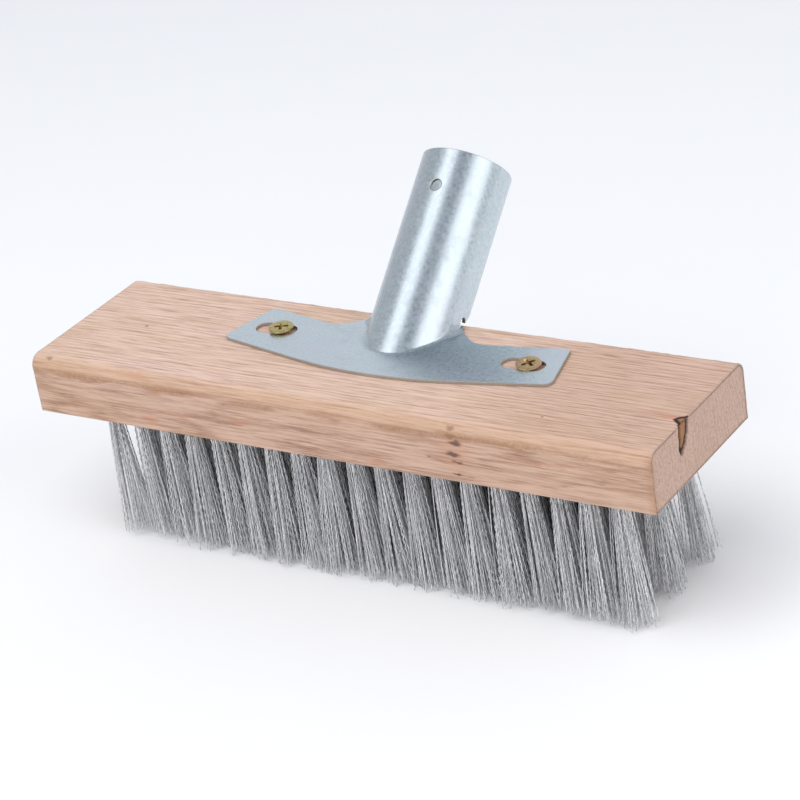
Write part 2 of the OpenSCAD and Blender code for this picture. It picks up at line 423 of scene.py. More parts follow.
def wood_material():
    """Raw, pinkish, coarse-fibred hardwood. Its growth rings stand nearly upright in the block."""
    s = Shader("raw_wood")
    p = s.place()
    x, y, z = s.split(p)[0:3]
    bend = s.noise(s.scaled(p, (0.007, 0.03, 0.03)), detail=2)
    wobble = s.noise(s.scaled(p, (0.03, 0.22, 0.22)), detail=3)
    across = s.less(y, 150.0)
    down = s.less(z, 78.0)
    radius = s.math("SQRT", s.total(s.times(across, across), s.times(down, down)))
    radius = s.total(
        radius,
        s.times(bend, 13.0),
        s.times(wobble, 1.8),
        s.times(x, 0.018),
    )
    ring = s.math("DIVIDE", radius, 1.9)
    uneven = s.noise(s.join(s.times(ring, 0.45), 3.7, 1.3), detail=1)
    ring = s.total(ring, s.times(uneven, 1.6))
    phase = s.math("FRACT", ring)
    late = s.curve(phase, [(0.0, 0.75), (0.12, 0.18), (0.55, 0.22), (0.85, 0.62), (0.95, 1.0), (1.0, 0.75)])
    fibre = s.noise(s.scaled(p, (0.045, 1.3, 1.3)), detail=4, roughness=0.65)
    fine = s.noise(s.scaled(p, (0.12, 4.0, 4.0)), detail=3, roughness=0.6)
    pore_field = s.noise(s.scaled(p, (0.10, 2.2, 2.2)), detail=2, roughness=0.5)
    pore = s.remap(pore_field, 0.60, 0.70)
    pore = s.times(pore, s.remap(late, 0.2, 0.8, 0.35, 1.0))
    cloud = s.noise(s.scaled(p, (0.012, 0.05, 0.05)), detail=3, roughness=0.6)

    light = s.mix(s.remap(cloud, 0.35, 0.68), (0.80, 0.585, 0.485), (0.76, 0.55, 0.43))
    dark = s.mix(s.remap(cloud, 0.35, 0.68), (0.42, 0.245, 0.185), (0.44, 0.26, 0.165))
    share = s.total(
        s.times(late, 0.42),
        s.times(s.remap(fibre, 0.36, 0.66), 0.62),
        s.times(s.remap(fine, 0.38, 0.68), 0.34),
        -0.30,
    )
    color = s.mix(share, light, dark)
    color = s.mix(s.times(pore, 0.62), color, (0.30, 0.165, 0.115))
    # Painted shade: the long faces are darkened to balance the front light, which is strong for the wires'
    # sake.
    # The top is browner towards the right end.
    long_faces_shade_mask = s.remap(s.math("ABSOLUTE", y), 29.0, 31.8)
    color = s.mix(s.times(long_faces_shade_mask, 0.9), color, (0.755, 0.69, 0.63), "MULTIPLY")
    color = s.mix(s.times(s.remap(x, 30, 80), s.less(1.0, long_faces_shade_mask)), color,
                  (0.86, 0.81, 0.77), "MULTIPLY")

    # Marks on the planed front face: knots, curved red streaks and faint cutter marks.
    ragged = s.times(s.less(s.noise(s.scaled(p, (0.35, 0.35, 0.5)), detail=4), 0.5), 3.0)
    wavy = s.join(x, y, s.total(z, ragged))
    arcs = s.spots(wavy, [
        ((46.0, -32.5, 65.6), (3.4, 6.0, 0.9)),
        ((47.2, -32.5, 63.1), (3.6, 6.0, 1.1)),
        ((46.0, -32.5, 58.9), (3.8, 6.0, 1.5)),
        ((47.4, -32.5, 56.0), (3.0, 6.0, 0.7)),
        ((46.8, -32.5, 51.8), (2.8, 6.0, 0.7)),
        ((46.0, -30.0, 68.0), (2.4, 6.0, 0.9)),
    ], 0.25)
    halo = s.spot(wavy, (46.0, -33.0, 61.0), (9.5, 7.0, 12.0), 0.25, 1.0)
    color = s.mix(s.times(halo, 0.34), color, (0.50, 0.235, 0.15))
    color = s.mix(s.times(arcs, 0.80), color, (0.10, 0.045, 0.035))
    streaks = []
    for centre, radii, depth in (
        ((-37.5, -32.5, 57.6), (8.5, 5.0, 1.5), 0.07),
        ((-61.0, -32.5, 56.2), (8.0, 5.0, 1.2), 0.05),
        ((-74.5, -32.5, 52.6), (6.0, 5.0, 2.4), 0.08),
        ((-79.0, -31.5, 68.6), (11.0, 5.0, 1.3), -0.02),
        ((-71.0, -32.5, 64.4), (6.5, 5.0, 1.9), 0.05),
        ((16.3, -32.5, 51.4), (6.0, 5.0, 2.2), 0.02),
        ((79.0, -32.5, 60.5), (20.0, 5.0, 1.0), 0.01),
    ):
        from_middle = s.math("ABSOLUTE", s.less(x, centre[0]))
        sag = s.times(s.math("POWER", from_middle, 2.0), depth)
        bent = s.join(x, y, s.less(s.total(z, ragged), sag))
        streaks.append(s.spot(bent, centre, radii, 0.1))
    color = s.mix(s.times(s.strongest(streaks), 0.55), color, (0.52, 0.25, 0.155))
    dots = s.spots(wavy, [(centre, (size * 1.5, size, size)) for centre, size in (
        ((-116.1, -30.8, 70.0), 1.5), ((-95.9, -0.6, 70.0), 0.8), ((-80.3, -31.3, 70.0), 0.9),
        ((36.8, -32.5, 56.8), 0.7), ((-51.0, 12.0, 70.0), 0.6), ((73.0, -20.0, 70.0), 0.6),
    )], 0.2)
    color = s.mix(s.times(dots, 0.8), color, (0.20, 0.10, 0.07))

    # The router left an uneven brown band where the rounding meets the front face.
    blotch = s.noise(s.scaled(p, (0.055, 0.1, 0.25)), detail=5, roughness=0.62)
    width = s.remap(blotch, 0.3, 0.75, 0.9, 3.2)
    level = s.total(65.4, s.times(s.less(s.noise(s.scaled(p, (0.02, 0, 0))), 0.5), 3.5))
    near = s.math("DIVIDE", s.math("ABSOLUTE", s.less(z, level)), width)
    band = s.times(s.remap(near, 0.15, 1.0, 1.0, 0.0), s.remap(y, -31.0, -30.2, 1.0, 0.0))
    band = s.times(band, s.remap(blotch, 0.33, 0.62, 0.18, 1.0))
    speck = s.remap(s.noise(s.scaled(p, (0.9, 0.9, 1.4)), detail=3), 0.35, 0.65, 0.55, 1.0)
    color = s.mix(s.times(s.times(band, speck), 0.85), color, (0.33, 0.17, 0.085))
    ochre = s.times(s.remap(y, -31.6, -27.5, 1.0, 0.0), s.remap(z, 64.5, 67.0))
    color = s.mix(s.times(ochre, 0.30), color, (0.66, 0.43, 0.27))

    # End grain is greyer and darker, with small checks; the corners are bruised brown.
    ends = s.math("MAXIMUM", s.remap(x, 116.0, 116.8), s.remap(x, -122.8, -122.0, 1.0, 0.0))
    check = s.noise(s.scaled(p, (0.4, 1.9, 0.45)), detail=4, roughness=0.6)
    color = s.mix(s.times(ends, 0.50), color, (0.50, 0.355, 0.29))
    color = s.mix(s.times(ends, s.remap(check, 0.50, 0.74, 0.0, 0.55)), color, (0.24, 0.15, 0.115))
    corner = s.times(s.remap(x, 113.5, 117.0), s.remap(y, -32.4, -30.4, 1.0, 0.0))
    color = s.mix(s.times(corner, 0.45), color, (0.42, 0.21, 0.11))
    stain = s.spot(p, (112.5, -8.2, 70.0), (12.5, 2.6, 5.0), 0.1, 1.0)
    color = s.mix(s.times(stain, 0.55), color, (0.55, 0.22, 0.13))

    # Bark pocket at the right end.
    bark = s.mix(s.remap(fine, 0.3, 0.7), (0.44, 0.22, 0.10), (0.24, 0.11, 0.06))
    color = s.mix(s.attribute("plug"), color, bark)
    # Painted shade: the crack round the plug is painted near black.
    color = s.mix(s.attribute("gap"), color, (0.035, 0.02, 0.015))

    height = s.total(
        s.times(fibre, 0.6),
        s.times(fine, 0.30),
        s.times(pore, -0.7),
        s.times(late, 0.12),
    )
    s.set(
        color=color,
        roughness=s.remap(fibre, 0.2, 0.8, 0.62, 0.85),
        normal=s.bump(height, 0.55, 0.00022),
        specular=0.3,
    )
    return s.material


def zinc_material():
    """Bright zinc on pressed steel: faint blue, mottled by the crystals, with soft rolling waves."""
    s = Shader("bright_zinc")
    p = s.place()
    mottle = s.noise(p, 0.8, detail=2, roughness=0.5)
    cloud = s.noise(p, 0.06, detail=3)
    rolled = s.noise(s.scaled(p, (1.2, 0.35, 0.35)), 1.0, detail=2, roughness=0.5)
    color = s.mix(s.remap(mottle, 0.32, 0.68), (0.535, 0.615, 0.65), (0.645, 0.71, 0.735))
    color = s.mix(s.remap(cloud, 0.35, 0.7, 0.0, 0.4), color, (0.60, 0.63, 0.71))
    stain = s.remap(s.noise(p, 0.16, detail=3, roughness=0.5), 0.55, 0.75, 0.0, 0.25)
    color = s.mix(stain, color, (0.46, 0.52, 0.56))
    cut = s.attribute("cut_edge")
    color = s.mix(s.times(cut, 0.75), color, (0.46, 0.43, 0.37))
    # Painted shade inside the socket, darker with depth.
    inner = s.attribute("inner")
    color = s.mix(s.times(inner, 0.9), color, (0.13, 0.12, 0.11))
    rough = s.total(
        s.remap(mottle, 0.3, 0.72, 0.27, 0.37),
        s.times(s.less(rolled, 0.5), 0.12),
        s.times(stain, 0.2),
        s.times(cut, 0.15),
        s.times(inner, 0.3),
    )
    waves = s.noise(p, 0.11, detail=1)
    grain = s.total(s.times(mottle, 0.05), s.times(rolled, 0.03))
    normal = s.bump(s.total(waves, grain), 0.20, 0.0005)
    s.set(color=color, metallic=1.0, roughness=rough, normal=normal)
    return s.material


def yellow_zinc_material():
    """Yellow passivated zinc with the green, gold and copper tints of the coating."""
    s = Shader("yellow_zinc")
    p = s.place()
    tint = s.noise(p, 0.55, detail=3, roughness=0.6, distortion=0.8)
    grit = s.noise(p, 5.0, detail=4, roughness=0.7)
    color = s.mix(s.remap(tint, 0.34, 0.5), (0.30, 0.31, 0.11), (0.55, 0.46, 0.19))
    color = s.mix(s.remap(tint, 0.5, 0.66), color, (0.58, 0.38, 0.22))
    side = s.remap(s.split(p)[0], -10.0, 10.0)
    color = s.mix(s.times(side, s.remap(tint, 0.42, 0.6, 0.15, 0.75)), color, (0.66, 0.38, 0.27))
    color = s.mix(s.remap(grit, 0.55, 0.8, 0.0, 0.6), color, (0.22, 0.17, 0.08))
    s.set(
        color=color,
        metallic=1.0,
        roughness=s.remap(grit, 0.3, 0.75, 0.22, 0.48),
        normal=s.bump(grit, 0.3, 0.0001),
    )
    return s.material


def wire_material():
    """Plain drawn steel wire, a little uneven in tone from wire to wire and along each wire."""
    s = Shader("steel_wire")
    p = s.place()
    tone = s.noise(s.scaled(p, (1.3, 1.3, 0.05)), 1.0, detail=2, roughness=0.6)
    fleck = s.noise(s.scaled(p, (2.2, 2.2, 1.4)), 1.0, detail=2, roughness=0.6)
    color = s.mix(s.remap(tone, 0.36, 0.64), (0.62, 0.625, 0.635), (1.0, 1.0, 1.0))
    color = s.mix(s.remap(fleck, 0.5, 0.68, 0.0, 0.5), color, (0.42, 0.42, 0.43))
    s.set(color=color, metallic=0.55, roughness=s.remap(fleck, 0.3, 0.75, 0.28, 0.45))
    return s.material


def anchor_material():
    """Galvanised flat wire."""
    s = Shader("anchor_wire")
    p = s.place()
    mottle = s.noise(p, 1.6, detail=4, roughness=0.7)
    color = s.mix(mottle, (0.45, 0.43, 0.40), (0.72, 0.72, 0.72))
    s.set(
        color=color,
        metallic=1.0,
        roughness=s.remap(mottle, 0.3, 0.7, 0.35, 0.6),
        normal=s.bump(mottle, 0.2, 0.0001),
    )
    return s.material


def floor_material():
    s = Shader("pale_floor")
    grain = s.noise(s.place(), 0.02, detail=3)
    s.set(
        color=s.mix(grain, (0.94, 0.94, 0.945), (0.955, 0.955, 0.955)),
        roughness=0.9,
        specular=0.1,
    )
    return s.material


WOOD = wood_material()
ZINC = zinc_material()
YELLOW = yellow_zinc_material()
WIRE = wire_material()
ANCHOR = anchor_material()


# ---- tufts' places ----

ROWS = 5
MIDDLE_ROW = 3
TUFTS = {1: 19, 2: 18, 3: 19, 4: 18, 5: 19}
TUFT_PITCH = 11.0
ROW_PITCH = 10.3
FIELD_X = -2.0
HOLE_R = 2.5
HOLE_DEPTH = 11.0
WIRE_SET = 3.5
ROW_SPLAY = 1.5
TIP_R = 6.2


def tuft_centres(row):
    n = TUFTS[row]
    x = FIELD_X + TUFT_PITCH * (np.arange(n) - (n - 1) / 2)
    return np.column_stack([x, np.full(n, ROW_PITCH * (row - MIDDLE_ROW))])


# ---- block ----

TOP_ROUND = 4.0
LOW_ROUND = 0.5
END_ROUND = 0.45
# Where the bark pocket opens, on the end face as (y, z) and on the top as (x, y).
POCKET_END = np.array([
    [-12.6, 70.2], [-12.2, 68.6], [-12.9, 66.8], [-12.7, 64.6], [-13.4, 62.6], [-12.5, 60.1],
    [-11.3, 61.0], [-9.8, 62.6], [-8.6, 64.6], [-7.7, 66.4], [-7.3, 68.4], [-6.9, 70.2],
])
POCKET_TOP = np.array([[117.3, -12.6], [115.6, -10.9], [114.0, -9.6], [115.2, -8.2], [117.3, -6.9]])


def profile(inset):
    """The block's section at an inset, from the lower front corner round over the top."""
    half = BLOCK_HIGH[1] - inset
    low, high = BLOCK_LOW[2] + inset, BLOCK_HIGH[2] - inset
    top_r, low_r = max(TOP_ROUND - inset, 0.05), max(LOW_ROUND - inset, 0.05)
    points = []

    def arc(cy, cz, r, a0, a1, steps):
        for a in np.radians(np.linspace(a0, a1, steps + 1)):
            points.append((cy + r * math.cos(a), cz + r * math.sin(a)))

    def line(y0, z0, y1, z1, shares):
        for t in shares:
            points.append((y0 + (y1 - y0) * t, z0 + (z1 - z0) * t))

    arc(-half + low_r, low + low_r, low_r, 270, 180, 3)
    line(-half, low + low_r, -half, high - top_r, np.arange(1, 16) / 16)
    arc(-half + top_r, high - top_r, top_r, 180, 90, 12)
    flat = 2 * (half - top_r)
    fine = np.concatenate([
        np.arange(1, 14) / 57, np.linspace(0.235, 0.42, 34), np.arange(25, 57) / 57,
    ])
    line(-half + top_r, high, half - top_r, high, fine)
    arc(half - top_r, high - top_r, top_r, 90, 0, 12)
    line(half, high - top_r, half, low + low_r, np.arange(1, 16) / 16)
    arc(half - low_r, low + low_r, low_r, 0, -90, 3)
    side = len(points)
    line(half - low_r, low, -half + low_r, low, np.arange(1, 32) / 32)
    return np.array(points), side


def block_rows():
    """X of each ring of the block, finer near the bark pocket."""
    low, high = BLOCK_LOW[0] + END_ROUND, BLOCK_HIGH[0] - END_ROUND
    return np.concatenate([np.arange(low, 109.0, 1.0), np.arange(109.0, high - 0.1, 0.3), [high]])


def block_parts():
    """Sides, end roundings, end faces, and the underside with its blind holes."""
    none = lambda n: np.zeros((n, 1))
    section, side = profile(0.0)
    m = len(section)
    xs = block_rows()
    body = np.array([[x, y, z] for x in xs for y, z in section])
    faces = []
    for r in range(len(xs) - 1):
        for k in range(side - 1):
            a, b = r * m + k, (r + 1) * m + k
            faces.append([a, a + 1, b + 1, b])
    parts = [(body, faces, none(len(body)))]
    for sign, x_end in ((-1, xs[0]), (1, xs[-1])):
        rings = []
        for a in np.radians([0, 30, 60, 90]):
            ring, _ = profile(END_ROUND * (1 - math.cos(a)))
            rings.append(np.column_stack([
                np.full(m, x_end + sign * END_ROUND * math.sin(a)), ring]))
        faces = []
        for r in range(len(rings) - 1):
            for k in range(m):
                a, b, c, d = r * m + k, r * m + (k + 1) % m, (r + 1) * m + (k + 1) % m, (r + 1) * m + k
                faces.append([a, b, c, d] if sign > 0 else [d, c, b, a])
        parts.append((np.vstack(rings), faces, none(len(rings) * m)))
        rim = rings[-1][:, 1:]
        inner = grid_points(rim.min(0), rim.max(0), 1.0)
        if sign > 0:
            near = (np.abs(inner[:, 0] + 10) < 4.6) & (inner[:, 1] > 58.9)
            fine = grid_points(np.array([-14.6, 58.9]), np.array([-5.4, 69.6]), 0.27)
            inner = np.vstack([inner[~near], fine])
        flat, triangles = fill([rim], inner, 0.2)
        cap = np.column_stack([np.full(len(flat), rings[-1][0, 0]), flat])
        if sign < 0:
            triangles = triangles[:, ::-1]
        parts.append((cap, triangles.tolist(), none(len(cap))))
    # The underside shares its edge points with the body's rings.
    y_low, y_high = section[0, 0], section[side - 1, 0]
    outline = [(x, y_low) for x in xs]
    outline += [(xs[-1], y) for y in section[side:, 0][::-1]]
    outline += [(x, y_high) for x in xs[::-1]]
    outline += [(xs[0], y) for y in section[side:, 0]]
    loops = [np.array(outline)]
    turn = np.linspace(0, 2 * np.pi, 25)[:-1]
    circle = np.column_stack([np.cos(turn), np.sin(turn)])
    centres = np.vstack([tuft_centres(r) for r in range(1, ROWS + 1)])
    loops += [c + (HOLE_R + 0.25) * circle for c in centres]
    inner = grid_points(loops[0].min(0), loops[0].max(0), 2.2)
    flat, triangles = fill(loops, inner, 0.6)
    z0 = BLOCK_LOW[2]
    parts.append((
        np.column_stack([flat, np.full(len(flat), z0)]), triangles[:, ::-1].tolist(), none(len(flat))))
    for c in centres:
        rings = []
        for r, dz in ((0.25, 0), (0.07, 0.09), (0, 0.28), (0, 4), (0, HOLE_DEPTH)):
            xy = c + (HOLE_R + r) * circle
            rings.append(np.column_stack([xy, np.full(24, z0 + dz)]))
        rings.append(np.array([[c[0], c[1], z0 + HOLE_DEPTH + 0.3]]))
        faces = []
        for r in range(4):
            for k in range(24):
                a, b = r * 24 + k, r * 24 + (k + 1) % 24
                faces.append([a, b, b + 24, a + 24])
        faces += [[96 + k, 96 + (k + 1) % 24, 120] for k in range(24)]
        parts.append((np.vstack(rings), faces, none(121)))
    return parts


def vertex_normals(points, faces):
    normals = np.zeros_like(points)
    for size in (3, 4):
        f = np.array([face for face in faces if len(face) == size])
        if not len(f):
            continue
        p = points[f]
        n = np.cross(p[:, 2] - p[:, 0], p[:, -1] - p[:, 1]) if size == 4 else np.cross(
            p[:, 1] - p[:, 0], p[:, 2] - p[:, 0])
        for k in range(size):
            np.add.at(normals, f[:, k], n)
    return unit(normals)


def outline_distance(points, loop):
    """Distance from 2-D points to a closed outline."""
    best = np.full(len(points), np.inf)
    for a, b in zip(loop, np.roll(loop, -1, axis=0)):
        d = b - a
        t = np.clip(((points - a) @ d) / (d @ d), 0, 1)
        best = np.minimum(best, np.linalg.norm(points - (a + t[:, None] * d), axis=1))
    return best


def build_block():
    points, faces, _ = merge(block_parts())
    normals = vertex_normals(points, faces)
    x, y, z = points.T
    outside = (
        (z > BLOCK_HIGH[2] - 6) | (np.abs(y) > BLOCK_HIGH[1] - 1.2)
        | (x > BLOCK_HIGH[0] - 0.6) | (x < BLOCK_LOW[0] + 0.6)
    )
    # Sanded faces are never quite true, and the edges are fuzzy.
    wave = noise3(points * [0.02, 0.05, 0.05], 1) * 0.10
    ripple = noise3(points * [0.12, 0.9, 0.9], 2) * 0.035
    to_end = np.minimum(np.abs(x - BLOCK_HIGH[0]), np.abs(x - BLOCK_LOW[0]))
    to_face = np.minimum(np.abs(np.abs(y) - BLOCK_HIGH[1]), 9)
    to_top = np.abs(z - BLOCK_HIGH[2])
    sharp = np.sort(np.column_stack([to_end, to_face, to_top]), axis=1)[:, 1]
    edge = np.exp(-sharp / 0.7) * noise3(points * [0.8, 0.8, 0.8], 3) ** 2 * 0.30
    back_edge = np.exp(-(np.abs(y - BLOCK_HIGH[1]) + to_top) / 5.0) * (
        noise3(points * [0.45, 0.6, 0.6], 5) ** 3 * 0.5)
    inward = (wave + ripple + edge + back_edge) * outside
    # The bark pocket: a deep crack round a plug that has shrunk back a little.
    on_end, on_top = x > BLOCK_HIGH[0] - 0.5, (z > BLOCK_HIGH[2] - 0.5) & (np.abs(y) < 28)
    end_d = outline_distance(points[:, 1:], POCKET_END)
    top_d = outline_distance(points[:, :2], POCKET_TOP)
    # The outlines' closing sides lie in the other face, so they are not cracks there.
    end_d = np.where(z > 69.9, np.minimum(np.abs(y + 12.5), np.abs(y + 7.0)), end_d)
    top_d = np.where(x > 116.7, np.minimum(np.abs(y + 12.5), np.abs(y + 7.0)), top_d)
    jitter = (noise3(points * 1.3, 9) - 0.5) * 0.28
    end_gap = np.clip(1 - (end_d + jitter) / 1.15, 0, 1) * on_end
    top_gap = np.clip(1 - (top_d + jitter) / 0.85, 0, 1) * on_top * (x > 112.5)
    gap = np.maximum(end_gap, top_gap)
    in_end = inside(points[:, 1:], [POCKET_END]) & on_end
    in_top = inside(points[:, :2], [POCKET_TOP]) & on_top
    plug = (in_end | in_top).astype(float)
    inward += smoothstep(gap, 0.05, 0.6) * 1.1 + plug * 0.30
    points = points - normals * inward[:, None]
    low, high = BLOCK_LOW, BLOCK_HIGH
    points = np.clip(points, low, high)
    obj = make_object("wood_block", points, faces, WOOD)
    # The crack's mask also carries painted shade into the wood's colour.
    set_attributes(obj, gap=smoothstep(gap, 0.1, 0.55), plug=plug)
    return obj


block = build_block()
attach(block, "root")
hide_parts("block")


# ---- bracket ----

BORE_R = 14.6
SOCKET_R = BORE_R + SHEET
SOCKET_L = 57.5
TILT = math.radians(48)
SOCKET_Y = 25.8
AXIS_FOOT = np.array([0.0, SOCKET_Y, PLATE_TOP])
AXIS = np.array([0.0, math.sin(TILT), math.cos(TILT)])
FORWARD = np.array([0.0, -math.cos(TILT), math.sin(TILT)])
UP = np.array([0.0, 0.0, 1.0])
EDGE = 0.22
RELIEF_Y, RELIEF_Z, RELIEF_R = 29.0, PLATE_TOP + 0.2, 1.75
BACK_CUT_Z = PLATE_LOW[2] + 0.4
SEAM_HALF = 0.3
SCREW_HOLE_FROM_RIM, SCREW_HOLE_R = 13.6, 2.0
PLATE_X = 2.0
SLOT_X, SLOT_Y, SLOT_L, SLOT_R = 48.5, 8.2, 15.7, 3.6
WING = [(64.3, -1.8, 3), (58.6, 22.4, 2)]
TONGUE = [(26.7, 16.3, 11), (17.3, 25.4, 3), (16.7, 29, 0.5)]
BELLY = (PLATE_X, -15.3, 150)


def radial(theta):
    """Outward direction on the socket's wall; 0 is its front, pi its back."""
    theta = np.asarray(theta, float)[..., None]
    return np.cos(theta) * FORWARD + np.sin(theta) * np.array([1.0, 0, 0])


def on_wall(theta, a, r=SOCKET_R):
    return AXIS_FOOT + np.asarray(a, float)[..., None] * AXIS + r * radial(theta)


GUSSET_AT, GUSSET_WIDTH = 73.0, 6.5


def fillet_r(theta):
    """The press radius between plate and socket, tighter towards the relief holes."""
    t = np.degrees(theta)
    plain = 0.5 + 1.2 * (1 - smoothstep(np.abs(t), 52, 90))
    left = 3.2 * np.exp(-(((t + 48) / 24) ** 2)) * (1 - smoothstep(-t, 46, 66))
    gusset = 3.4 * np.exp(-(((np.abs(t) - GUSSET_AT) / GUSSET_WIDTH) ** 2))
    return plain + left + gusset


def fillet_centre(theta):
    rho = fillet_r(theta)
    a = (rho - (SOCKET_R + rho) * np.cos(theta) * math.sin(TILT)) / math.cos(TILT)
    return a, AXIS_FOOT + a[..., None] * AXIS + (SOCKET_R + rho)[..., None] * radial(theta)


def relief_reach(theta):
    """How far the fillet's upper edge is from the middle of the relief hole."""
    a, _ = fillet_centre(np.array([theta]))
    p = on_wall(np.array([theta]), a)[0]
    return math.hypot(p[1] - RELIEF_Y, p[2] - RELIEF_Z)


def last_fillet_angle():
    low, high = math.radians(70), math.radians(100)
    for _ in range(50):
        middle = (low + high) / 2
        low, high = (middle, high) if relief_reach(middle) > RELIEF_R + EDGE else (low, middle)
    return low


def rounded_outline(corners, steps=16):
    points, n = [], len(corners)
    for i in range(n):
        a, p, b = (np.array(corners[(i + k) % n][:2], float) for k in (-1, 0, 1))
        r = corners[i][2]
        to_a, to_b = unit(a - p), unit(b - p)
        half = math.acos(to_a @ to_b) / 2
        centre = p + unit(to_a + to_b) * r / math.sin(half)
        start = p + to_a * r / math.tan(half) - centre
        end = p + to_b * r / math.tan(half) - centre
        sweep = math.pi - 2 * half
        for k in range(steps + 1):
            t = k / steps
            to_point = start * math.sin(sweep * (1 - t)) + end * math.sin(sweep * t)
            points.append(centre + to_point / math.sin(sweep))
    return np.array(points)


def resample(points, step, closed=True):
    """Adds points so that no straight stretch is longer than the step."""
    out = []
    ends = list(zip(points, np.roll(points, -1, axis=0)))
    if not closed:
        ends = ends[:-1]
    for a, b in ends:
        n = max(1, int(math.ceil(np.linalg.norm(b - a) / step)))
        out += [a + (b - a) * k / n for k in range(n)]
    if not closed:
        out.append(points[-1])
    return np.array(out)


def shrink(points, distance):
    """Moves a counter-clockwise closed outline inwards."""
    along = unit(np.roll(points, -1, axis=0) - np.roll(points, 1, axis=0))
    return points + distance * np.column_stack([-along[:, 1], along[:, 0]])


def capsule(cx, cy, length, r, steps=20):
    half = length / 2 - SLOT_R
    points = []
    for side, start in ((1, -90), (-1, 90)):
        for a in np.radians(np.linspace(start, start + 180, steps + 1)):
            points.append((cx + side * half + r * math.cos(a), cy + r * math.sin(a)))
    return np.array(points)


def bracket_skin():
    end = last_fillet_angle()
    theta = np.linspace(-end, end, 141)
    a_top, centre = fillet_centre(theta)
    rho = fillet_r(theta)
    steps = 9
    rows, row_normals = [], []
    n = radial(theta)
    # A pressed gusset flattens the corner on each side of the foot.
    flat_share = 0.85 * np.exp(-(((np.degrees(np.abs(theta)) - GUSSET_AT) / 5.5) ** 2))[:, None]
    low_end, high_end = centre - rho[:, None] * UP, centre - rho[:, None] * n
    for k in range(steps + 1):
        t = k / steps
        angle = np.arccos(np.clip(n @ UP, -1, 1))
        direction = (
            np.sin((1 - t) * angle)[:, None] * UP + np.sin(t * angle)[:, None] * n
        ) / np.sin(angle)[:, None]
        arc = centre - rho[:, None] * direction
        chord = low_end + t * (high_end - low_end)
        rows.append(arc + flat_share * (chord - arc))
        share = flat_share if 0 < k < steps else 0
        row_normals.append(unit(direction + share * (unit(UP + n) - direction)))
    n_theta = len(theta)
    strip = np.vstack(rows)
    strip_faces = [
        [k * n_theta + i, k * n_theta + i + 1, (k + 1) * n_theta + i + 1, (k + 1) * n_theta + i]
        for k in range(steps) for i in range(n_theta - 1)
    ]
    parts = [(strip, strip_faces, np.vstack(row_normals))]

    # The plate, from the foot of the fillet to its own edge.
    foot = rows[0]
    right_side = [(PLATE_X + x, y, r) for x, y, r in WING] + TONGUE
    left_side = [(PLATE_X - x, y, r) for x, y, r in WING] + [(-x, y, r) for x, y, r in TONGUE]
    outline = resample(rounded_outline([BELLY] + right_side + left_side[::-1]), 0.5)
    outline = shrink(outline, EDGE)
    tail_y = float(foot[-1, 1])
    first = next(i for i in range(len(outline)) if outline[i, 1] > tail_y and outline[i, 0] > 0)
    last = max(i for i in range(len(outline)) if outline[i, 1] > tail_y and outline[i, 0] < 0)
    rim = np.vstack([outline[last + 1 :], outline[:first]])

    def tail(near, beyond):
        t = (tail_y - near[1]) / (beyond[1] - near[1])
        return near + t * (beyond - near)

    right = tail(rim[-1], outline[first])
    left = tail(rim[0], outline[last])
    closing = resample(np.array([right, foot[-1, :2]]), 0.8, closed=False)[1:-1]
    opening = resample(np.array([foot[0, :2], left]), 0.8, closed=False)[1:-1]
    loop = np.vstack([[left], rim, [right], closing, foot[::-1, :2], opening])
    slots = [resample(capsule(PLATE_X + sx * SLOT_X, SLOT_Y, SLOT_L, SLOT_R + EDGE), 0.8) for sx in (-1, 1)]
    flat, triangles = fill([loop] + slots, grid_points(loop.min(0), loop.max(0), 1.5), 0.55)
    plate = np.column_stack([flat, np.full(len(flat), PLATE_TOP)])
    parts.append((plate, triangles.tolist(), np.tile(UP, (len(plate), 1))))

    # The socket's wall, laid out flat as (arc length, height along the axis).
    seam = math.pi - (SEAM_HALF + EDGE) / SOCKET_R
    rim_a = SOCKET_L - EDGE
    r = RELIEF_R + EDGE
    start_p = on_wall(np.array([end]), a_top[-1:])[0]
    beta0 = math.atan2(start_p[2] - RELIEF_Z, start_p[1] - RELIEF_Y)
    level = BACK_CUT_Z + EDGE
    beta1 = math.asin((level - RELIEF_Z) / r)
    lower = []
    for beta in np.linspace(beta0, beta1, 19)[1:]:
        y, z = RELIEF_Y + r * math.cos(beta), RELIEF_Z + r * math.sin(beta)
        a = (y - SOCKET_Y) * math.sin(TILT) + (z - PLATE_TOP) * math.cos(TILT)
        c = (-(y - SOCKET_Y) * math.cos(TILT) + (z - PLATE_TOP) * math.sin(TILT)) / SOCKET_R
        lower.append((SOCKET_R * math.acos(c), a))
    for t in np.linspace(lower[-1][0] / SOCKET_R, seam, 34)[1:]:
        a = (level - PLATE_TOP - SOCKET_R * math.cos(t) * math.sin(TILT)) / math.cos(TILT)
        lower.append((SOCKET_R * t, a))
    lower = np.array(lower)
    mirror = lower[::-1] * [-1, 1]
    side = resample(np.array([lower[-1], [SOCKET_R * seam, rim_a]]), 1.1, closed=False)[1:]
    top = np.column_stack([np.linspace(SOCKET_R * seam, -SOCKET_R * seam, 97)[1:], np.full(96, rim_a)])
    other = (side[::-1] * [-1, 1])[1:]
    upper_edge = np.column_stack([SOCKET_R * theta, a_top])
    loop = np.vstack([upper_edge, lower, side, top, other, mirror])
    turn = np.linspace(0, 2 * np.pi, 41)[:-1]
    hole = np.array([0, SOCKET_L - SCREW_HOLE_FROM_RIM]) + (SCREW_HOLE_R + 0.42) * np.column_stack(
        [np.cos(turn), np.sin(turn)])
    flat, triangles = fill([loop, hole], grid_points(loop.min(0), loop.max(0), 1.25), 0.45)
    t = flat[:, 0] / SOCKET_R
    wall = on_wall(t, flat[:, 1])
    parts.append((wall, triangles.tolist(), radial(t)))
    points, faces, normals = merge([(p, facing(p, f, n), n) for p, f, n in parts], 3)
    return points, faces, unit(normals)


